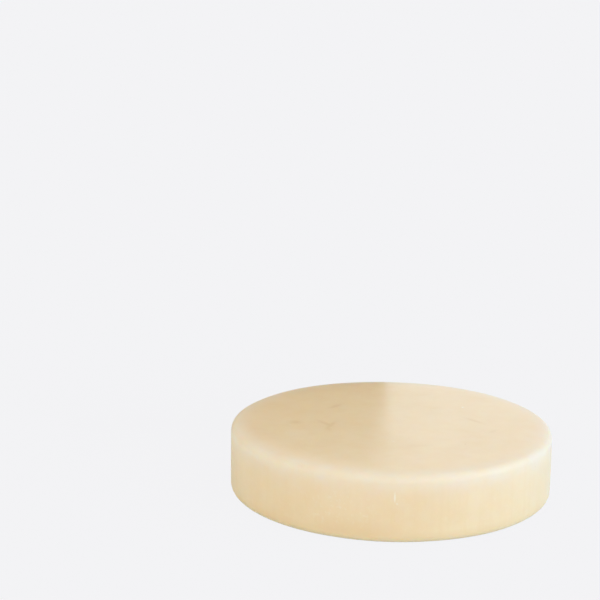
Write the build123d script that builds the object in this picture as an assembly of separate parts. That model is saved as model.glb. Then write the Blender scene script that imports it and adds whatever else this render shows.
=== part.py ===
from build123d import *

import os

# A round puck of hard shaving soap, of the kind that drops into a shaving bowl or a round tin. It is one
# solid cake: nothing is assembled into it and nothing in it moves. The two flat faces are parallel, the
# wall between them is straight, and both rims are softly rounded, as they leave the mould.
#
# Frame: millimetres, +Z up. The origin is the centre of the flat face that the puck rests on.

# ---- Driving dimensions ----------------------------------------------------------------------------------
PUCK_DIAMETER = 82.0
PUCK_THICKNESS = 17.5
TOP_EDGE_RADIUS = 2.0
BASE_EDGE_RADIUS = 2.0

# ---- Worked out from them, for the printed summary -------------------------------------------------------
SOAP_DENSITY_G_PER_CM3 = 1.09
MM3_PER_CM3 = 1000.0


def soap_puck():
    """The cake: a straight disc standing on its base face, with its upper and lower rims rounded."""
    disc = Cylinder(
        radius=PUCK_DIAMETER / 2,
        height=PUCK_THICKNESS,
        align=(Align.CENTER, Align.CENTER, Align.MIN),
    )
    rims = disc.edges().filter_by(GeomType.CIRCLE).sort_by(Axis.Z)
    base_rim = rims[0]
    rounded = fillet(base_rim, BASE_EDGE_RADIUS)
    top_rim = rounded.edges().filter_by(GeomType.CIRCLE).sort_by(Axis.Z)[-1]
    return fillet(top_rim, TOP_EDGE_RADIUS)


def print_summary(puck):
    """Prints the sizes that the record states."""
    straight_wall = PUCK_THICKNESS - TOP_EDGE_RADIUS - BASE_EDGE_RADIUS
    top_flat_radius = PUCK_DIAMETER / 2 - TOP_EDGE_RADIUS
    base_flat_radius = PUCK_DIAMETER / 2 - BASE_EDGE_RADIUS
    grams = puck.volume / MM3_PER_CM3 * SOAP_DENSITY_G_PER_CM3
    print(f"straight wall {straight_wall:.2f} mm, from z = {BASE_EDGE_RADIUS:.2f} mm")
    print(f"flat faces: top radius {top_flat_radius:.2f} mm, base radius {base_flat_radius:.2f} mm")
    print(f"volume {puck.volume / MM3_PER_CM3:.2f} cm3, about {grams:.1f} g of soap")


os.makedirs("parts", exist_ok=True)
cake = soap_puck()
cake.label = "soap_puck"
export_step(cake, "parts/soap_puck.step")
print_summary(cake)
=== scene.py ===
# %% [markdown]
# # A puck of hard shaving soap
# This lesson builds the looks of one cake of shaving soap round a measured solid. The solid comes from
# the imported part: it gives the size and the place, and it stays as it is. Blender adds what a mould, a
# wrapper and a few pairs of hands leave on soap: soft rims, a skin that is not quite flat, a waxy
# colour that is never quite even, and a satin gloss. Everything is in metres, with Z up, and the cake
# stands on its base with the middle of that base at the origin.

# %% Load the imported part
import math
import random

import bpy
import numpy as np
from mathutils import Matrix, Vector, noise


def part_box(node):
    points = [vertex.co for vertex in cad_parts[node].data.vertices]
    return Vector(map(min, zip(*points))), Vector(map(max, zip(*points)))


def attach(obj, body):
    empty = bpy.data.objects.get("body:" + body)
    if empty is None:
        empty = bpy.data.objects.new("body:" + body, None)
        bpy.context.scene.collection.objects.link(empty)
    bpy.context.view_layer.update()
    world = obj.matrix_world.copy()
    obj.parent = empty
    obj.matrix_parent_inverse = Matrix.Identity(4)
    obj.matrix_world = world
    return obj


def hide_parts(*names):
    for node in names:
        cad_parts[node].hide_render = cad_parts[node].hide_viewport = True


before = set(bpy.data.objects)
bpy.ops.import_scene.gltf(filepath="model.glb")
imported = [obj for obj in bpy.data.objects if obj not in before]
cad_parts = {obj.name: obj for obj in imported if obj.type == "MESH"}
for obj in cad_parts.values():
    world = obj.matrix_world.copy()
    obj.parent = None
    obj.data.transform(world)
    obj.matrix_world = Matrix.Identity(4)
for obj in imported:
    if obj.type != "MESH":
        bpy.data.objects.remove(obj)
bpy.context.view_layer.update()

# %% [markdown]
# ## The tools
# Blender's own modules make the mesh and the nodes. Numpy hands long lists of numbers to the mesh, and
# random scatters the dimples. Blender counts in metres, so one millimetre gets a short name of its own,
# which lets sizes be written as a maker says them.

MM = 0.001

# %% [markdown]
# ## The size of the cake
# Real soap cakes of this kind are poured or pressed as plain discs, a few times wider than they are
# thick. The size could be typed in again here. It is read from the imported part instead, so that the
# looks can never drift away from the measured solid.

# %% Read the cake's size
cake_low, cake_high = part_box("soap_puck")
CAKE_RADIUS = (cake_high.x - cake_low.x) / 2
CAKE_THICKNESS = cake_high.z - cake_low.z
print(f"cake: {2 * CAKE_RADIUS / MM:.1f} mm across, {CAKE_THICKNESS / MM:.1f} mm thick")

# %% [markdown]
# ## The camera
# A cake of soap is shot like any small thing on a table: from a little above, with a long lens, so that
# its round faces look natural and its rim stays in view. The camera could be aimed with a Track To
# constraint. Here its tilt and its small roll are given as angles, which keeps the framing exact: first
# it looks level along +Y, then it tips down, and last it turns a little about its own line of sight.

# %% Place the camera
CAMERA_PLACE = Vector((-23.72, -415.59, 145.76)) * MM
CAMERA_TILT_DOWN = math.radians(13.074)
CAMERA_ROLL = math.radians(0.728)
CAMERA_LENS_MM = 101.67
SENSOR_WIDTH_MM = 36.0
CAMERA_NEAR, CAMERA_REACH = 0.01, 20.0

camera_data = bpy.data.cameras.new("table_camera")
camera_data.sensor_width = SENSOR_WIDTH_MM
camera_data.lens = CAMERA_LENS_MM
camera_data.clip_start, camera_data.clip_end = CAMERA_NEAR, CAMERA_REACH
table_camera = bpy.data.objects.new("table_camera", camera_data)
level = Matrix.Rotation(math.pi / 2, 3, "X")
aim = Matrix.Rotation(-CAMERA_TILT_DOWN, 3, "X") @ level @ Matrix.Rotation(CAMERA_ROLL, 3, "Z")
table_camera.matrix_world = Matrix.Translation(CAMERA_PLACE) @ aim.to_4x4()
bpy.context.scene.collection.objects.link(table_camera)
bpy.context.scene.camera = table_camera
print(f"camera {(CAMERA_PLACE - Vector((0, 0, CAKE_THICKNESS))).length:.3f} m from the top of the cake")

# %% [markdown]
# ## The plan of a flat face
# Each flat face of the cake is a disc. A fan of triangles from the middle would pinch at its centre and
# has no points there to shape. A square grid bent into a disc has even quads all over: each square ring
# of the grid becomes a circle, and the ring numbered k has 8k points. The outermost ring then runs
# straight on down the wall, so the whole skin is one closed mesh of quads.

# %% Number the points of a face, ring by ring
FACE_RINGS = 84
RIM_POINTS = 8 * FACE_RINGS
FIRST_CORNER = -math.pi / 4


def place_in_ring(i, j):
    """(ring, angle) of the grid point i, j: ring 0 is the middle, and each ring starts at a corner."""
    ring = max(abs(i), abs(j))
    if ring == 0:
        return 0, 0.0
    if i == ring and j > -ring:
        step = j + ring
    elif j == ring:
        step = 3 * ring - i
    elif i == -ring:
        step = 5 * ring - j
    else:
        step = (7 * ring + i) % (8 * ring)
    return ring, 2 * math.pi * step / (8 * ring) + FIRST_CORNER


def rim_number(angle):
    """The number of the rim point nearest to this angle."""
    return round((angle - FIRST_CORNER) / (2 * math.pi) * RIM_POINTS) % RIM_POINTS


face_span = range(-FACE_RINGS, FACE_RINGS + 1)
face_plan = {(i, j): place_in_ring(i, j) for j in face_span for i in face_span}
print(f"a face has {len(face_plan)} points, {RIM_POINTS} of them on its rim")

# %% [markdown]
# ## The section through the wall
# Cut the cake down the middle and its side is a straight wall between two rounded rims. The rim of real
# soap is not an exact arc on an exact flat: the top face begins to fall away well inside the rim, by
# less than half a millimetre, and the rounding is fuller in one place than in another. A Bevel modifier
# gives one even radius. Here the section is drawn in code: a soft shoulder runs smoothly into a rim
# that bends gently at both ends, and the size of the rim drifts slowly round the cake.

# %% Name the sizes of the side
TOP_ROUNDING = 2.1 * MM
BASE_ROUNDING = 2.1 * MM
ROUNDING_DRIFT = 0.12
DRIFT_WAVES = 1.6
TOP_DRIFT, BASE_DRIFT = 3.0, 8.0
ROUNDING_STEPS = 12
ROUNDING_FINENESS = 4
WALL_STEPS = 26
print(f"each rim has {ROUNDING_STEPS} steps and the wall has {WALL_STEPS}")


# %% Let a face fall away towards its rim
class Shoulder:
    """How a flat face falls away towards its rim: nothing up to start, then drop by the rim."""

    def __init__(self, start, drop, power):
        self.start, self.drop, self.power = start, drop, power

    def fall(self, radius, reach):
        """How far the face has fallen at this radius, when it meets the rim at reach."""
        share = max(0.0, (radius - self.start) / (reach - self.start))
        return self.drop * share ** self.power

    def slope(self, reach):
        """The angle at which the face meets the rim."""
        return math.atan(self.power * self.drop / (reach - self.start))


top_shoulder = Shoulder(start=30 * MM, drop=0.42 * MM, power=2.6)
base_shoulder = Shoulder(start=35 * MM, drop=0.10 * MM, power=2.0)
print(f"the top falls {top_shoulder.drop / MM:.2f} mm, the base {base_shoulder.drop / MM:.2f} mm")


# %% Bend the rim
def rounding_at(angle, nominal, drift):
    """How far the rim is rounded at this angle: nominal, give or take its own drift."""
    spot = Vector((DRIFT_WAVES * math.cos(angle), DRIFT_WAVES * math.sin(angle), drift))
    return nominal * (1 + ROUNDING_DRIFT * noise.noise(spot))


def heading_at(share, first):
    """Which way the rim runs at this share of its length, eased from first to straight down."""
    return first + (math.pi / 2 - first) * share * share * (3 - 2 * share)


def soft_rim(rounding, shoulder):
    """Points of one rim as (inset, depth below the face, outward, away, distance along the skin).

    The rim is walked in small strides. Easing its direction makes the bend gentle at both ends and
    tightest in the middle."""
    first = shoulder.slope(CAKE_RADIUS - rounding)
    strides = ROUNDING_STEPS * ROUNDING_FINENESS
    out, down = [0.0], [0.0]
    for n in range(strides):
        heading = heading_at((n + 0.5) / strides, first)
        out.append(out[-1] + math.cos(heading))
        down.append(down[-1] + math.sin(heading))
    stride = rounding / out[-1]
    points = []
    for n in range(0, strides + 1, ROUNDING_FINENESS):
        heading = heading_at(n / strides, first)
        points.append((rounding - out[n] * stride, shoulder.drop + down[n] * stride,
                       math.sin(heading), math.cos(heading), n * stride))
    return points


plain_rim = soft_rim(TOP_ROUNDING, top_shoulder)
print(f"top face meets its rim {plain_rim[0][0] / MM:.2f} mm in from the wall, "
      f"the wall starts {plain_rim[-1][1] / MM:.2f} mm down")

# %% [markdown]
# ## The skin
# Soap shrinks as it cools and dries, so its faces dish by a hair, its skin swells and sinks by a few
# hundredths of a millimetre, and the wall keeps upright draw marks from leaving the mould. A Displace
# modifier with a texture could do this. Moving the points in code lets each kind of unevenness act only
# where it belongs, and keeps every one of them inside the measured size.

# %% Say how far the skin sinks at a point
FACE_DISH = 0.06 * MM
SWELL, SWELL_WIDTH = 0.040 * MM, 17 * MM
RIPPLE, RIPPLE_WIDTH = 0.014 * MM, 4.5 * MM
RIPPLE_SHIFT = Vector((9, 2, 5))
DRAW_MARK, DRAW_MARK_WIDTH, DRAW_MARK_LENGTH = 0.018 * MM, 1.3 * MM, 26 * MM


def swell_and_ripple(p):
    """Slow and quick unevenness of the whole skin, never above zero."""
    slow = noise.noise(p / SWELL_WIDTH)
    quick = noise.noise(p / RIPPLE_WIDTH + RIPPLE_SHIFT)
    return SWELL * (slow - 1) + RIPPLE * (quick - 1)


def draw_marks(angle, height):
    """Upright marks on the wall: quick round the cake, slow up it, never above zero."""
    around = Vector((math.cos(angle), math.sin(angle), 0)) * CAKE_RADIUS / DRAW_MARK_WIDTH
    around.z = height / DRAW_MARK_LENGTH
    return DRAW_MARK * (noise.noise(around) - 1)


print(f"swell and ripple sink the skin by {2 * (SWELL + RIPPLE) / MM:.2f} mm at most")

# %% [markdown]
# ## The marks of handling
# Soap is soft enough to take a thumb or the corner of its wrapper. The top has a few long, shallow
# rubs where something slid over it, most of them left of the middle. The base and the back of the wall
# have small round dimples from the tray and from being picked up. Sculpting could add them. Hollows
# listed in millimetres stay where they are put, and each is only a few hundredths of one deep.

# %% Describe a hollow
HOLLOW_REACH = 3


class Hollow:
    """A shallow hollow in the skin, measured in millimetres: long for a rub, and round for a dimple."""

    def __init__(self, middle, half_length, half_width, turn, depth):
        self.middle = Vector(middle) * MM
        self.half_length, self.half_width = half_length * MM, half_width * MM
        self.along = Vector((math.cos(math.radians(turn)), math.sin(math.radians(turn)), 0))
        self.depth = depth * MM

    def sink(self, p):
        """How far the skin goes in at this point, as a number below zero."""
        away = p - self.middle
        if away.length > HOLLOW_REACH * self.half_length:
            return 0.0
        lengthwise = away.dot(self.along)
        across = (away - self.along * lengthwise).length
        fade = (lengthwise / self.half_length) ** 2 + (across / self.half_width) ** 2
        return -self.depth * math.exp(-fade)


def pressed(p, hollows):
    """How far all these hollows take the skin in at this point."""
    return sum(hollow.sink(p) for hollow in hollows)


# %% Press the rubs and the dimples
TOP = CAKE_THICKNESS / MM
RUB_DEPTH = 0.04 * MM
rubs = [Hollow((-24.4, -0.8, TOP), 1.5, 1.5, 0, 0.045),
        Hollow((-16.9, -1.4, TOP), 2.6, 0.6, 125, 0.045),
        Hollow((-15.2, -2.4, TOP), 2.8, 0.6, 70, 0.045),
        Hollow((-16.0, -6.2, TOP), 1.8, 0.6, 100, 0.030),
        Hollow((-14.0, 13.8, TOP), 2.4, 0.8, 50, 0.045),
        Hollow((21.6, 2.2, TOP), 3.0, 0.6, 128, 0.040),
        Hollow((25.4, -6.6, TOP), 1.6, 0.6, 60, 0.025),
        Hollow((6.0, -19.0, TOP), 3.2, 0.9, 15, 0.016)]
BASE_DIMPLES, BASE_SIZES, BASE_DEPTHS = 26, (0.9, 2.4), (0.02, 0.07)
WALL_DIMPLES, WALL_SIZES, WALL_DEPTHS = 12, (1.0, 2.2), (0.02, 0.06)
DIMPLED_BASE, DIMPLED_WALL = 36, (3, 14)
SIDE = CAKE_RADIUS / MM
hands = random.Random(11)
base_dimples, wall_dimples = [], []
for _ in range(BASE_DIMPLES):
    away, angle = DIMPLED_BASE * math.sqrt(hands.random()), hands.uniform(0, 2 * math.pi)
    size = hands.uniform(*BASE_SIZES)
    base_dimples.append(Hollow((away * math.cos(angle), away * math.sin(angle), 0), size, size, 0,
                               hands.uniform(*BASE_DEPTHS)))
for _ in range(WALL_DIMPLES):
    angle, height = hands.uniform(0, math.pi), hands.uniform(*DIMPLED_WALL)
    size = hands.uniform(*WALL_SIZES)
    wall_dimples.append(Hollow((SIDE * math.cos(angle), SIDE * math.sin(angle), height), size, size, 0,
                               hands.uniform(*WALL_DEPTHS)))
print(f"{len(rubs)} rubs on the top, {BASE_DIMPLES} dimples on the base, {WALL_DIMPLES} on the wall")

# %% [markdown]
# ## Where the rim highlight is painted
# A highlight is painted into the colour: the rim and the top of the wall are paler than the rest, and
# the paleness fades down the wall. Ambient occlusion or a curvature mask could find the rim, but both
# are worked out at render time and an exported model loses them. Here the weight of the painted
# highlight is stored on the points, as an attribute. A second one named wall tells the wall from the
# flat faces, and a third named rub says where the top has been rubbed.

# %% Say how strong the painted rim highlight is at a point
# Where the painted highlight along the rim is strongest, and how far it fades onto the top and down the
# wall.
HIGHLIGHT_CREST = 2.2 * MM
HIGHLIGHT_ON_FACE = 3.9 * MM
HIGHLIGHT_ON_WALL = 3.1 * MM
HIGHLIGHT_DOWN_WALL = 8.5 * MM
HIGHLIGHT_TAIL = 0.24


def bloom(along):
    """Painted highlight at a distance along the skin from where the top face ends: most below the rim.
    """
    past = along - HIGHLIGHT_CREST
    if past < 0:
        return math.exp(-(past / HIGHLIGHT_ON_FACE) ** 2)
    return ((1 - HIGHLIGHT_TAIL) * math.exp(-(past / HIGHLIGHT_ON_WALL) ** 2)
            + HIGHLIGHT_TAIL * math.exp(-(past / HIGHLIGHT_DOWN_WALL) ** 2))


print(f"palest {HIGHLIGHT_CREST / MM:.1f} mm along the skin from where the top face ends")

# %% [markdown]
# ## Growing the skin
# A stock cylinder with a stack of modifiers would look much the same, but its points would not know how
# far they are from the rim. Here the points are put down one by one, each with its own weights, and the
# faces join them afterwards.

# %% Start the skin
class Skin:
    """The closed skin as it grows: its points, the three weights of each point, and its faces."""

    def __init__(self):
        self.points, self.blooms, self.walls, self.rubs, self.faces = [], [], [], [], []

    def add(self, p, direction, sink, highlit, wall, rubbed=0.0):
        """Put down one point, moved in by sink against its direction, and return its number."""
        self.points.append(p + direction * sink)
        self.blooms.append(highlit)
        self.walls.append(wall)
        self.rubs.append(min(1.0, rubbed))
        return len(self.points) - 1


skin = Skin()

# %% Bend the rims all round
rim_angles = [2 * math.pi * n / RIM_POINTS + FIRST_CORNER for n in range(RIM_POINTS)]
top_rims = [soft_rim(rounding_at(a, TOP_ROUNDING, TOP_DRIFT), top_shoulder) for a in rim_angles]
base_rims = [soft_rim(rounding_at(a, BASE_ROUNDING, BASE_DRIFT), base_shoulder) for a in rim_angles]
top_widths = [rim[0][0] / MM for rim in top_rims]
print(f"the top rim is {min(top_widths):.2f} to {max(top_widths):.2f} mm wide")


# %% Say how a face and a row are laid
def lay_face(rims, shoulder, height, up, hollows):
    """Put down one flat face, and return the number of each of its points by grid place."""
    numbers = {}
    for place, (ring, angle) in face_plan.items():
        reach = CAKE_RADIUS - rims[rim_number(angle)][0][0]
        r = reach * ring / FACE_RINGS
        p = Vector((r * math.cos(angle), r * math.sin(angle), height))
        dent = pressed(p, hollows)
        sink = swell_and_ripple(p) - shoulder.fall(r, reach) + dent
        sink -= FACE_DISH * (1 - (ring / FACE_RINGS) ** 2)
        highlit, rubbed = (bloom(r - reach), -dent / RUB_DEPTH) if up > 0 else (0.0, 0.0)
        numbers[place] = skin.add(p, Vector((0, 0, up)), sink, highlit, 0.0, rubbed)
    return numbers


def lay_row(spots, hollows=()):
    """Put down one row round the side, from (inset, height, outward, upward, dry) at each rim angle."""
    row = []
    for angle, (inset, height, outward, upward, highlit) in zip(rim_angles, spots):
        r = CAKE_RADIUS - inset
        p = Vector((r * math.cos(angle), r * math.sin(angle), height))
        way_out = Vector((outward * math.cos(angle), outward * math.sin(angle), upward))
        sink = swell_and_ripple(p) + outward ** 2 * draw_marks(angle, height) + pressed(p, hollows)
        row.append(skin.add(p, way_out, sink, highlit, outward ** 2))
    return row


# %% Lay the two faces, the rims and the wall
top_numbers = lay_face(top_rims, top_shoulder, CAKE_THICKNESS, 1, rubs)
base_numbers = lay_face(base_rims, base_shoulder, 0.0, -1, base_dimples)
rim_places = sorted((p for p, (ring, _) in face_plan.items() if ring == FACE_RINGS),
                    key=lambda p: rim_number(face_plan[p][1]))

rows = [[top_numbers[p] for p in rim_places]]
for step in range(1, ROUNDING_STEPS + 1):
    rows.append(lay_row([(inset, CAKE_THICKNESS - depth, outward, away, bloom(along))
                         for inset, depth, outward, away, along in (rim[step] for rim in top_rims)]))
for step in range(1, WALL_STEPS):
    spots = []
    for top_rim, base_rim in zip(top_rims, base_rims):
        wall_top, wall_base = CAKE_THICKNESS - top_rim[-1][1], base_rim[-1][1]
        height = wall_top + (wall_base - wall_top) * step / WALL_STEPS
        spots.append((0.0, height, 1.0, 0.0, bloom(top_rim[-1][4] + wall_top - height)))
    rows.append(lay_row(spots, wall_dimples))
for step in range(ROUNDING_STEPS, 0, -1):
    rows.append(lay_row([(inset, depth, outward, -away, 0.0)
                         for inset, depth, outward, away, _ in (rim[step] for rim in base_rims)]))
rows.append([base_numbers[p] for p in rim_places])
print(f"{len(rows)} rows from the top face down to the base")

# %% Join the points with faces
for j in range(-FACE_RINGS, FACE_RINGS):
    for i in range(-FACE_RINGS, FACE_RINGS):
        corners = [(i, j), (i + 1, j), (i + 1, j + 1), (i, j + 1)]
        skin.faces.append([top_numbers[c] for c in corners])
        skin.faces.append([base_numbers[c] for c in reversed(corners)])
for upper, lower in zip(rows, rows[1:]):
    for n in range(RIM_POINTS):
        m = (n + 1) % RIM_POINTS
        skin.faces.append([upper[m], upper[n], lower[n], lower[m]])
print(f"{len(skin.faces)} faces of four corners each")

# %% Make the mesh
soap_mesh = bpy.data.meshes.new("soap_cake")
soap_mesh.from_pydata([tuple(p) for p in skin.points], [], skin.faces)
soap_mesh.shade_smooth()
# Store the weight of the painted rim highlight, and the wall and rub weights, on the points.
for name, values in (("bloom", skin.blooms), ("wall", skin.walls), ("rub", skin.rubs)):
    weight = soap_mesh.attributes.new(name, "FLOAT", "POINT")
    weight.data.foreach_set("value", np.array(values, np.float32))
soap_mesh.validate()
soap_cake = bpy.data.objects.new("soap_cake", soap_mesh)
bpy.context.scene.collection.objects.link(soap_cake)
print(f"skin: {len(soap_mesh.vertices)} points, {len(soap_mesh.polygons)} faces")

# %% [markdown]
# ## The soap
# Hard shaving soap is a pale cream wax. Light goes a few millimetres into it and comes out again, which
# softens every edge. A plain diffuse colour would look like chalk, so the shader gets subsurface
# scattering, with red light travelling furthest. Values that are the same all over are set on the
# shader itself. Everything that changes over the skin is fed to it by the masks of the next steps.

# %% Start the soap's material
SOAP_IOR = 1.46
SCATTER_SHARE, SCATTER_DEPTH = 0.75, 4 * MM
SCATTER_BY_COLOUR = (1.0, 0.7, 0.42)

soap = bpy.data.materials.new("hard_shaving_soap")
soap.use_nodes = True
soap_nodes = soap.node_tree.nodes
soap_links = soap.node_tree.links
soap_shader = soap_nodes["Principled BSDF"]
soap_shader.inputs["IOR"].default_value = SOAP_IOR
soap_shader.inputs["Subsurface Weight"].default_value = SCATTER_SHARE
soap_shader.inputs["Subsurface Radius"].default_value = SCATTER_BY_COLOUR
soap_shader.inputs["Subsurface Scale"].default_value = SCATTER_DEPTH
soap_mesh.materials.append(soap)
cake_coordinates = soap_nodes.new("ShaderNodeTexCoord").outputs["Object"]
print(f"soap scatters light over {SCATTER_DEPTH / MM:.0f} mm")

# %% [markdown]
# ### Masks in code
# A node tree can be wired by hand, but a long one is hard to follow. Five small helpers keep the next
# cells short: noise of a given grain, a value moved from one range to another, arithmetic on two
# values, one colour laid over another by a mask, and a weight read back from the points. A Mix node
# keeps a set of sockets for every kind of data, so its colour sockets are found by number.

# %% Make noise and move its range
def grain(size, detail=2.0, roughness=0.5, stretch=None, shift=0.0):
    """Noise whose blotches are about size across; stretch pulls them out along an axis."""
    texture = soap_nodes.new("ShaderNodeTexNoise")
    texture.inputs["Scale"].default_value = 1 / size
    texture.inputs["Detail"].default_value = detail
    texture.inputs["Roughness"].default_value = roughness
    place = soap_nodes.new("ShaderNodeMapping")
    place.inputs["Location"].default_value = (shift, shift, shift)
    if stretch:
        place.inputs["Scale"].default_value = stretch
    soap_links.new(cake_coordinates, place.inputs["Vector"])
    soap_links.new(place.outputs["Vector"], texture.inputs["Vector"])
    return texture.outputs["Fac"]


def ranged(value, low, high, new_low=0.0, new_high=1.0):
    """The value moved from low-high to the new range, and held inside it."""
    node = soap_nodes.new("ShaderNodeMapRange")
    node.inputs["From Min"].default_value, node.inputs["From Max"].default_value = low, high
    node.inputs["To Min"].default_value, node.inputs["To Max"].default_value = new_low, new_high
    soap_links.new(value, node.inputs["Value"])
    return node.outputs["Result"]


# %% Put values and colours together
MIX_MASK, MIX_UNDER, MIX_OVER, MIX_RESULT = 0, 6, 7, 2


def put_together(operation, first, second):
    """Arithmetic on two sockets, or on a socket and a number."""
    node = soap_nodes.new("ShaderNodeMath")
    node.operation = operation
    for slot, value in zip(node.inputs, (first, second)):
        if isinstance(value, (int, float)):
            slot.default_value = value
        else:
            soap_links.new(value, slot)
    return node.outputs["Value"]


def overlay(under, mask, over):
    """The colour over laid on the colour under, as much as the mask says."""
    node = soap_nodes.new("ShaderNodeMix")
    node.data_type = "RGBA"
    soap_links.new(mask, node.inputs[MIX_MASK])
    for slot, colour in ((node.inputs[MIX_UNDER], under), (node.inputs[MIX_OVER], over)):
        if isinstance(colour, tuple):
            slot.default_value = colour
        else:
            soap_links.new(colour, slot)
    return node.outputs[MIX_RESULT]


def stored(name):
    """A weight that is stored on the points of the skin."""
    node = soap_nodes.new("ShaderNodeAttribute")
    node.attribute_name = name
    return node.outputs["Fac"]


# The middle weight read here is the painted highlight along the rim.
on_wall, in_rim_highlight, in_rub = stored("wall"), stored("bloom"), stored("rub")
print(f"the weights wall, bloom and rub are ready, and the tree has {len(soap_nodes)} nodes so far")

# %% [markdown]
# ### Clouding
# Poured soap is never one even colour. Broad clouds, a centimetre or so wide, show where it set at a
# different pace, and smaller ones break them up. A painted image could hold them. Two noises in the
# cake's own coordinates run through all its faces without a seam.

# %% Mix the soap's own colour
SOAP_CREAM = (0.895, 0.735, 0.515, 1.0)
DEEP_CREAM = (0.855, 0.68, 0.44, 1.0)
PALE_CREAM = (0.91, 0.775, 0.58, 1.0)

BROAD_CLOUD, BROAD_STRENGTH = 11 * MM, 0.55
SMALL_CLOUD, SMALL_STRENGTH = 3.6 * MM, 0.35

broad_clouds = ranged(grain(BROAD_CLOUD, detail=3.0), low=0.36, high=0.66)
small_clouds = ranged(grain(SMALL_CLOUD, detail=3.0, shift=0.3), low=0.35, high=0.68)
soap_colour = overlay(SOAP_CREAM, put_together("MULTIPLY", broad_clouds, BROAD_STRENGTH), DEEP_CREAM)
soap_colour = overlay(soap_colour, put_together("MULTIPLY", small_clouds, SMALL_STRENGTH), PALE_CREAM)
print(f"clouds of about {BROAD_CLOUD / MM:.0f} mm, broken up by clouds of {SMALL_CLOUD / MM:.1f} mm")

# %% [markdown]
# ### Draw marks
# The wall left its mould upwards, so its colour keeps faint upright streaks. A Wave texture would rule
# them like lines. Noise pulled out along Z leaves streaks of uneven width and length, and the wall
# weight keeps them off the flat faces.

# %% Streak the wall
STREAK_WIDTH, STREAK_STRENGTH = 1.7 * MM, 0.34
PULLED_UP = (1, 1, 0.07)

streaks = ranged(grain(STREAK_WIDTH, detail=3.0, stretch=PULLED_UP), low=0.42, high=0.72)
wall_streaks = put_together("MULTIPLY", streaks, on_wall)
soap_colour = overlay(soap_colour, put_together("MULTIPLY", wall_streaks, STREAK_STRENGTH), DEEP_CREAM)
print(f"streaks {STREAK_WIDTH / MM:.1f} mm wide, {1 / PULLED_UP[2]:.0f} times as long")

# %% [markdown]
# ### Grit
# The wall also holds a fine, paler grit, where crumbs of drier soap were pressed in: a little all
# round, and a thicker patch left of the middle of the front. It could be scattered as real grains, but
# they are flush with the skin, so a fine noise is enough. The patch is the inside of an egg shape in
# the cake's own coordinates, which is simpler than a painted mask and needs no unwrapping.

# %% Strew the grit
GRIT_CREAM = (0.93, 0.83, 0.68, 1.0)
GRIT_SIZE = 0.9 * MM
GRIT_ALL_ROUND, GRIT_IN_PATCH = 0.12, 0.42
EGG_CORE = 0.4


def egg(middle, size):
    """A mask that is 1 deep inside an egg and fades to 0 at its shell, in millimetres."""
    place = soap_nodes.new("ShaderNodeMapping")
    place.vector_type = "TEXTURE"
    place.inputs["Location"].default_value = Vector(middle) * MM
    place.inputs["Scale"].default_value = Vector(size) * MM
    soap_links.new(cake_coordinates, place.inputs["Vector"])
    measure = soap_nodes.new("ShaderNodeVectorMath")
    measure.operation = "LENGTH"
    soap_links.new(place.outputs["Vector"], measure.inputs[0])
    return ranged(measure.outputs["Value"], low=EGG_CORE, high=1.0, new_low=1.0, new_high=0.0)


grains = ranged(grain(GRIT_SIZE, detail=2.0, shift=0.2), low=0.55, high=0.72)
patch = put_together("MULTIPLY", egg((-14, -38.5, 6.5), (11, 8, 8)), GRIT_IN_PATCH)
amount = put_together("ADD", patch, GRIT_ALL_ROUND)
grit = put_together("MULTIPLY", put_together("MULTIPLY", grains, on_wall), amount)
soap_colour = overlay(soap_colour, grit, GRIT_CREAM)
print(f"grit: {GRIT_ALL_ROUND:.2f} all round, {GRIT_ALL_ROUND + GRIT_IN_PATCH:.2f} in its patch")

# %% [markdown]
# ### Rubs and the painted shade along the base
# Pressed soap turns waxy, so the rubs on the top are a touch deeper in colour: the rub weight says
# where. Along the base a narrow, warmer and darker hem is painted shade, a little higher left of the
# middle of the front. Another weight on the points could mark it. The height above the base already
# finds the hem, and one more egg shape finds the patch of deeper painted shade.

# %% Deepen the rubs and paint the shade along the base
RUBBED_CREAM = (0.78, 0.60, 0.38, 1.0)
SHADED_HEM = (0.84, 0.645, 0.42, 1.0)
RUB_STRENGTH, PATCH_SHADE_STRENGTH = 0.6, 0.7
HEM_FULL, HEM_END = 0.5 * MM, 3.2 * MM

soap_colour = overlay(soap_colour, put_together("MULTIPLY", in_rub, RUB_STRENGTH), RUBBED_CREAM)
split_place = soap_nodes.new("ShaderNodeSeparateXYZ")
soap_links.new(cake_coordinates, split_place.inputs["Vector"])
# Painted shade: the wall grows darker and warmer towards the base.
hem = ranged(split_place.outputs["Z"], low=HEM_FULL, high=HEM_END, new_low=1.0, new_high=0.0)
# A patch of deeper painted shade, low on the wall left of the middle of the front.
shade_patch = put_together("MULTIPLY", egg((-12, -39.5, 1.0), (19, 8, 6)), PATCH_SHADE_STRENGTH)
low_down = put_together("MULTIPLY", put_together("MAXIMUM", hem, shade_patch), on_wall)
soap_colour = overlay(soap_colour, low_down, SHADED_HEM)
print(f"the warm hem fades out {HEM_END / MM:.1f} mm above the base")

# %% [markdown]
# ### Nicks
# Two small marks have a place of their own: a short upright nick in the front of the wall, and a pale
# crumb on the back of the top. Both are about as small as the faces of the mesh, which could only cut
# them coarsely, so two more egg shapes colour them instead.

# %% Mark the nicks
NICK_CREAM = (0.95, 0.88, 0.76, 1.0)

front_nick = egg((-1.0, -41, 11.8), (0.3, 0.8, 1.6))
back_crumb = egg((19.6, 14.2, TOP), (0.4, 0.6, 0.6))
soap_colour = overlay(soap_colour, put_together("ADD", front_nick, back_crumb), NICK_CREAM)
print("one nick in the front of the wall and one crumb on the back of the top")

# %% [markdown]
# ### The painted rim highlight
# The rim highlight weight says where a pale highlight is painted along the rim. Used alone it would draw
# a band as even as a ring of paint, so noise strengthens the band in one place and thins it in another.

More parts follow.
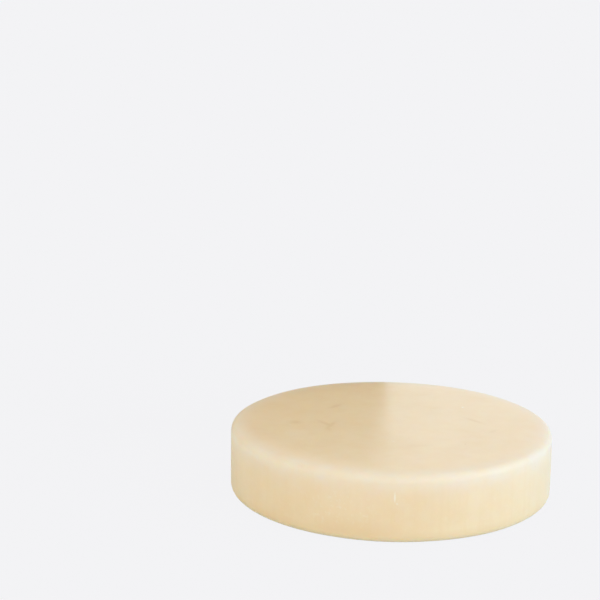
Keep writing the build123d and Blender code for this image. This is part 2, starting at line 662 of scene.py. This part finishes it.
# %% Paint the highlight on the rim
HIGHLIGHT_CREAM = (0.868, 0.79, 0.685, 1.0)
TEAR_SIZE, HIGHLIGHT_LEAST, HIGHLIGHT_MOST = 5.5 * MM, 0.58, 1.2

tears = grain(TEAR_SIZE, detail=4.0, roughness=0.6, shift=0.7)
torn = ranged(tears, low=0.3, high=0.7, new_low=HIGHLIGHT_LEAST, new_high=HIGHLIGHT_MOST)
rim_highlight_mask = put_together("MULTIPLY", in_rim_highlight, torn)
# Paint the pale highlight along the rim into the soap's colour.
soap_colour = overlay(soap_colour, rim_highlight_mask, HIGHLIGHT_CREAM)
print(f"the dry rim varies from {HIGHLIGHT_LEAST:.2f} to {HIGHLIGHT_MOST:.2f} of its weight")

# %% [markdown]
# ### Specks
# A few crumbs of drier soap and a few tiny tan fibres sit in the skin. Scattered objects would be many
# and hardly seen. Voronoi cells place them as colour: only the very middle of a cell shows, and only in
# the few cells whose random colour is high enough.

# %% Scatter the specks
SPECK_CORE = 0.6


def specks(spacing, size, rarity):
    """A mask of round specks: one in every few cells of the given spacing."""
    cells = soap_nodes.new("ShaderNodeTexVoronoi")
    cells.inputs["Scale"].default_value = 1 / spacing
    soap_links.new(cake_coordinates, cells.inputs["Vector"])
    edge = size / spacing
    middle = ranged(cells.outputs["Distance"], low=SPECK_CORE * edge, high=edge,
                    new_low=1.0, new_high=0.0)
    split = soap_nodes.new("ShaderNodeSeparateColor")
    soap_links.new(cells.outputs["Color"], split.inputs["Color"])
    chosen = put_together("GREATER_THAN", split.outputs["Red"], rarity)
    return put_together("MULTIPLY", middle, chosen)


PALE_CRUMB = (0.95, 0.90, 0.82, 1.0)
TAN_FIBRE = (0.62, 0.43, 0.24, 1.0)
SPECK_SIZE, SPECK_STRENGTH = 0.30 * MM, 0.45

for spacing, rarity, speck_colour in ((5.0 * MM, 0.80, PALE_CRUMB), (6.1 * MM, 0.84, TAN_FIBRE)):
    faint_specks = put_together("MULTIPLY", specks(spacing, SPECK_SIZE, rarity), SPECK_STRENGTH)
    soap_colour = overlay(soap_colour, faint_specks, speck_colour)
soap_links.new(soap_colour, soap_shader.inputs["Base Color"])
print(f"specks {SPECK_SIZE / MM:.1f} mm in radius")

# %% [markdown]
# ### Gloss
# A moulded soap face is satin. Under the painted rim highlight it is a little rougher, and where a hand
# or a wrapper wiped it, long faint marks are a little smoother or duller than their surroundings. One
# number for the roughness would look like plastic, so the mask of the painted rim highlight and a
# drawn-out noise vary it.

# %% Vary the gloss
SATIN, WIPED_SMOOTHER, WIPED_DULLER = 0.36, 0.02, 0.03
WIPE_WIDTH, WIPED_ALONG_Y = 7 * MM, (1.0, 0.6, 1.0)
RIM_DULLNESS = 0.16

wipes = grain(WIPE_WIDTH, detail=4.0, roughness=0.6, stretch=WIPED_ALONG_Y, shift=0.1)
wiped = ranged(wipes, low=0.35, high=0.68,
               new_low=SATIN - WIPED_SMOOTHER, new_high=SATIN + WIPED_DULLER)
# The roughness rises under the painted rim highlight.
gloss = put_together("ADD", wiped, put_together("MULTIPLY", rim_highlight_mask, RIM_DULLNESS))
soap_links.new(gloss, soap_shader.inputs["Roughness"])
print(f"roughness {SATIN - WIPED_SMOOTHER:.2f} to {SATIN + WIPED_DULLER:.2f}, more where it is dry")

# %% [markdown]
# ### The finest grain
# The gloss is broken up by a close, waxy grain, a softer orange-peel and pinholes where air bubbles met
# the mould. Displacing the mesh for them would take millions of faces. They are finer than the faces it
# has and don't show in its outline, so bump is enough.

# %% Add grain and pinholes
WAXY_GRAIN, ORANGE_PEEL = 0.55 * MM, 2.3 * MM
HOLE_SPACING, HOLE_SIZE, HOLE_RARITY = 4.3 * MM, 0.26 * MM, 0.72
GRAIN_HEIGHT, STREAK_HEIGHT, HOLE_HEIGHT = 0.35, -0.25, -1.6
RELIEF_STRENGTH, RELIEF_DEPTH = 0.55, 0.045 * MM

waxy_grain = put_together("MULTIPLY", grain(WAXY_GRAIN, detail=3.0), GRAIN_HEIGHT)
bumps = put_together("ADD", waxy_grain, grain(ORANGE_PEEL, detail=2.0, shift=0.5))
bumps = put_together("ADD", bumps, put_together("MULTIPLY", wall_streaks, STREAK_HEIGHT))
holes = specks(HOLE_SPACING, HOLE_SIZE, HOLE_RARITY)
bumps = put_together("ADD", bumps, put_together("MULTIPLY", holes, HOLE_HEIGHT))
relief = soap_nodes.new("ShaderNodeBump")
relief.inputs["Strength"].default_value = RELIEF_STRENGTH
relief.inputs["Distance"].default_value = RELIEF_DEPTH
soap_links.new(bumps, relief.inputs["Height"])
soap_links.new(relief.outputs["Normal"], soap_shader.inputs["Normal"])
print(f"the soap's material has {len(soap_nodes)} nodes")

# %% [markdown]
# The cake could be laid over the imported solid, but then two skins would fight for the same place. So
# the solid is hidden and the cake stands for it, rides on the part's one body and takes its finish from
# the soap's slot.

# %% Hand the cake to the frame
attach(soap_cake, "root")
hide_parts("soap_puck")
print("soap_cake stands for soap_puck")

# %% [markdown]
# ## The table
# The cake stands on a pale table with no visible end. A curved studio sweep would give the same look,
# but it would rise behind the cake in some side views. A very wide flat disc is pale from every side,
# and its edge can't be told from the room behind it, because both are the same white.

# %% Lay the table
TABLE_RADIUS = 5.4
TABLE_SIDES = 96

table_mesh = bpy.data.meshes.new("pale_table")
table_mesh.from_pydata([(TABLE_RADIUS * math.cos(2 * math.pi * n / TABLE_SIDES),
                         TABLE_RADIUS * math.sin(2 * math.pi * n / TABLE_SIDES), 0.0)
                        for n in range(TABLE_SIDES)], [], [list(range(TABLE_SIDES))])
pale_table = bpy.data.objects.new("pale_table", table_mesh)
bpy.context.scene.collection.objects.link(pale_table)
print(f"table {2 * TABLE_RADIUS:.1f} m across")

# %% [markdown]
# ## The light
# Plain soft studio light: a pale room all round, wide low lights in front and to the right, and weak
# ones elsewhere, so that the wall is a little brighter than the top and the right side is the palest.
# Area lights would do as well, but a sun's light is the same at every distance. Azimuth 0 shines from
# the front and 90 from the right. The colour of each light also holds its strength.

# %% Light the room
PAPER_WHITE = (0.896, 0.896, 0.913)
ROOM_LIGHT = (0.709, 0.668, 0.578)
ROOM_GLOSS = (0.775, 0.882, 1.015)
SOFTNESS = math.radians(40)
SUN_DISTANCE = 1.5
sun_colours = {}


def hang_sun(name, azimuth, elevation, colour):
    """A wide soft sun at these degrees round and up, with its light on the open table noted down."""
    data = bpy.data.lights.new(name, "SUN")
    data.energy = math.pi * max(colour)
    data.angle = SOFTNESS
    data.color = [c / max(colour) for c in colour]
    lamp = bpy.data.objects.new(name, data)
    a, e = math.radians(azimuth), math.radians(elevation)
    towards = Vector((math.sin(a) * math.cos(e), -math.cos(a) * math.cos(e), math.sin(e)))
    lamp.rotation_mode = "QUATERNION"
    lamp.rotation_quaternion = towards.to_track_quat("Z", "Y")
    lamp.location = towards * SUN_DISTANCE
    bpy.context.scene.collection.objects.link(lamp)
    sun_colours[name] = Vector(colour) * math.sin(e)


hang_sun("front", 0, 20, (0.115, 0.092, 0.061))
hang_sun("front_right", 45, 20, (0.132, 0.159, 0.20))
hang_sun("right_low", 90, 18, (0.08, 0.145, 0.23))
hang_sun("right_high", 90, 45, (0.059, 0.064, 0.052))
hang_sun("back", 180, 12, (0.061, 0.056, 0.05))
hang_sun("left", 270, 20, (0.095, 0.072, 0.036))
print(f"{len(sun_colours)} soft suns")

# %% [markdown]
# ### The room
# Walls and a ceiling would have to be lit in their turn. A world colour lights the cake evenly from all
# sides without them. It is warm for soft light and cool for gloss, as a room of cream walls with white
# lamps is, and the camera sees it as white paper.

# %% Make the room itself
world = bpy.data.worlds.new("pale_room")
bpy.context.scene.world = world
world.use_nodes = True
world_nodes, world_links = world.node_tree.nodes, world.node_tree.links
world_nodes.clear()
world_out = world_nodes.new("ShaderNodeOutputWorld")
room = world_nodes.new("ShaderNodeBackground")
world_ray = world_nodes.new("ShaderNodeLightPath")
gloss_mix = world_nodes.new("ShaderNodeMix")
gloss_mix.data_type = "RGBA"
gloss_mix.inputs[MIX_UNDER].default_value = (*ROOM_LIGHT, 1)
gloss_mix.inputs[MIX_OVER].default_value = (*ROOM_GLOSS, 1)
world_links.new(world_ray.outputs["Is Glossy Ray"], gloss_mix.inputs[MIX_MASK])
camera_mix = world_nodes.new("ShaderNodeMix")
camera_mix.data_type = "RGBA"
camera_mix.inputs[MIX_OVER].default_value = (*PAPER_WHITE, 1)
world_links.new(gloss_mix.outputs[MIX_RESULT], camera_mix.inputs[MIX_UNDER])
world_links.new(world_ray.outputs["Is Camera Ray"], camera_mix.inputs[MIX_MASK])
world_links.new(camera_mix.outputs[MIX_RESULT], room.inputs["Color"])
world_links.new(room.outputs[0], world_out.inputs["Surface"])
print(f"the room shines {ROOM_LIGHT} softly and {ROOM_GLOSS} in gloss")

# %% [markdown]
# ### The look of the table
# A plain white table would turn grey where the lights miss it and show where it ends. Here most of what
# the camera sees of it is a glow, and only a small share is lit, which leaves a faint shadow round the
# cake. The glow is worked out from the lights, so that the open table comes out as white as the room.
# To the light itself the table is matt white with a faint cool glow, and throws light up at the cake.

# %% Paint the table
LIT_SHARE = 0.03
TABLE_WHITE = (0.85, 0.85, 0.86)
TABLE_LIFT = (0.022, 0.087, 0.126)
open_light = Vector(ROOM_LIGHT) + sum(sun_colours.values(), Vector())

paper = bpy.data.materials.new("table_paper")
paper.use_nodes = True
paper_nodes, paper_links = paper.node_tree.nodes, paper.node_tree.links
paper_nodes.clear()
paper_out = paper_nodes.new("ShaderNodeOutputMaterial")
matt = paper_nodes.new("ShaderNodeBsdfDiffuse")
matt.inputs["Color"].default_value = (*TABLE_WHITE, 1)
lift = paper_nodes.new("ShaderNodeEmission")
lift.inputs["Color"].default_value = (*TABLE_LIFT, 1)
thrown = paper_nodes.new("ShaderNodeAddShader")
paper_links.new(matt.outputs[0], thrown.inputs[0])
paper_links.new(lift.outputs[0], thrown.inputs[1])
lit = paper_nodes.new("ShaderNodeBsdfDiffuse")
lit.inputs["Color"].default_value = (LIT_SHARE, LIT_SHARE, LIT_SHARE, 1)
glow = paper_nodes.new("ShaderNodeEmission")
glow.inputs["Color"].default_value = (*(w - LIT_SHARE * c for w, c in zip(PAPER_WHITE, open_light)), 1)
seen = paper_nodes.new("ShaderNodeAddShader")
paper_links.new(lit.outputs[0], seen.inputs[0])
paper_links.new(glow.outputs[0], seen.inputs[1])
ray = paper_nodes.new("ShaderNodeLightPath")
pick = paper_nodes.new("ShaderNodeMixShader")
paper_links.new(ray.outputs["Is Camera Ray"], pick.inputs[0])
paper_links.new(thrown.outputs[0], pick.inputs[1])
paper_links.new(seen.outputs[0], pick.inputs[2])
paper_links.new(pick.outputs[0], paper_out.inputs["Surface"])
table_mesh.materials.append(paper)
print(f"open table gets {tuple(round(c, 3) for c in open_light)} of light")

# %% [markdown]
# ### The dark card
# The left half of the cake's top is darker, with an edge that is crisp at the back and soft in front:
# it mirrors something dark and upright close behind. Painting that half darker would be wrong from any
# other side, so a photographer's card stands there instead. The camera does not see it and it throws no
# shadow. In the gloss it is a dark brown, and it holds back part of the room's soft light.

# %% Stand the card
CARD_LEFT, CARD_RIGHT = (-0.089, 0.049), (0.0015, 0.056)
CARD_HEIGHT = 0.056
CARD_SOFT = (0.39, 0.33, 0.17, 1)
CARD_GLOSS = (0.25, 0.075, 0.0, 1)

card_mesh = bpy.data.meshes.new("dark_card")
card_mesh.from_pydata([(*CARD_LEFT, 0), (*CARD_RIGHT, 0),
                       (*CARD_RIGHT, CARD_HEIGHT), (*CARD_LEFT, CARD_HEIGHT)], [], [(0, 1, 2, 3)])
dark_card = bpy.data.objects.new("dark_card", card_mesh)
bpy.context.scene.collection.objects.link(dark_card)
dark_card.visible_camera = False
dark_card.visible_shadow = False

card_paint = bpy.data.materials.new("dark_card")
card_paint.use_nodes = True
card_nodes, card_links = card_paint.node_tree.nodes, card_paint.node_tree.links
card_nodes.clear()
card_out = card_nodes.new("ShaderNodeOutputMaterial")
card_glow = card_nodes.new("ShaderNodeEmission")
card_mix = card_nodes.new("ShaderNodeMix")
card_mix.data_type = "RGBA"
card_mix.inputs[MIX_UNDER].default_value = CARD_SOFT
card_mix.inputs[MIX_OVER].default_value = CARD_GLOSS
card_ray = card_nodes.new("ShaderNodeLightPath")
card_links.new(card_ray.outputs["Is Glossy Ray"], card_mix.inputs[MIX_MASK])
card_links.new(card_mix.outputs[MIX_RESULT], card_glow.inputs["Color"])
card_links.new(card_glow.outputs[0], card_out.inputs["Surface"])
card_mesh.materials.append(card_paint)
card_width = (Vector(CARD_RIGHT) - Vector(CARD_LEFT)).length
print(f"card {card_width / MM:.0f} mm wide and {CARD_HEIGHT / MM:.0f} mm high")

# %% [markdown]
# ## Colour handling
# Blender can bend colours as film does, which flatters bright scenes but greys pale creams. The lights
# here are set so that nothing needs bending, and the plain Standard view is enough.

# %% Set the view
bpy.context.scene.view_settings.view_transform = "Standard"
print("view:", bpy.context.scene.view_settings.view_transform)
